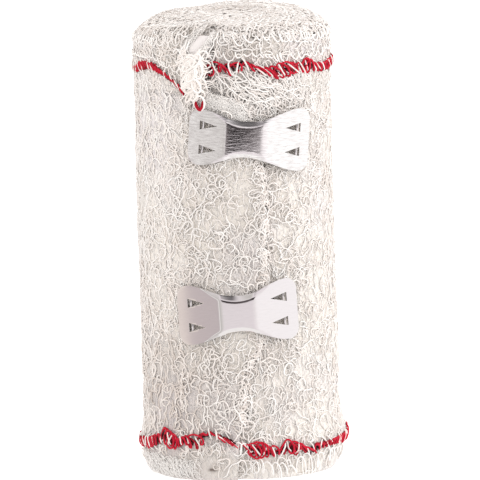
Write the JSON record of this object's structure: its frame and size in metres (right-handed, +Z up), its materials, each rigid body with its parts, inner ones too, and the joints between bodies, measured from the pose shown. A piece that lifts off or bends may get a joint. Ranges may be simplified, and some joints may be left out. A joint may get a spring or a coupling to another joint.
{
  "type": "elastic bandage roll",
  "caption": "Elastic crepe bandage wound into a standing roll, its loose end held by stamped metal stretch clips, with red yarn along both selvages.",
  "frame": {"origin": "middle of the flat bottom end that the roll stands on, on the axis of the winding", "axes": "+Z up along the axis of the winding, the clips face -Y, +X to the right of someone who looks at the clips"},
  "size_m": [0.0343, 0.0352, 0.0757],
  "materials": {
    "crepe_cotton": "undyed overtwisted cotton crepe, matt and curly",
    "red_yarn": "dyed curly cotton yarn",
    "clip_metal": "bright rolled sheet, finely brushed"
  },
  "bodies": {
    "root": {"bandage_roll": "crepe_cotton", "loose_end": "crepe_cotton", "red_yarn_top_roll": "red_yarn", "red_yarn_top_end": "red_yarn", "red_yarn_bottom_roll": "red_yarn", "red_yarn_bottom_end": "red_yarn", "clip_upper": "clip_metal", "clip_lower": "clip_metal"}
  },
  "joints": []
}
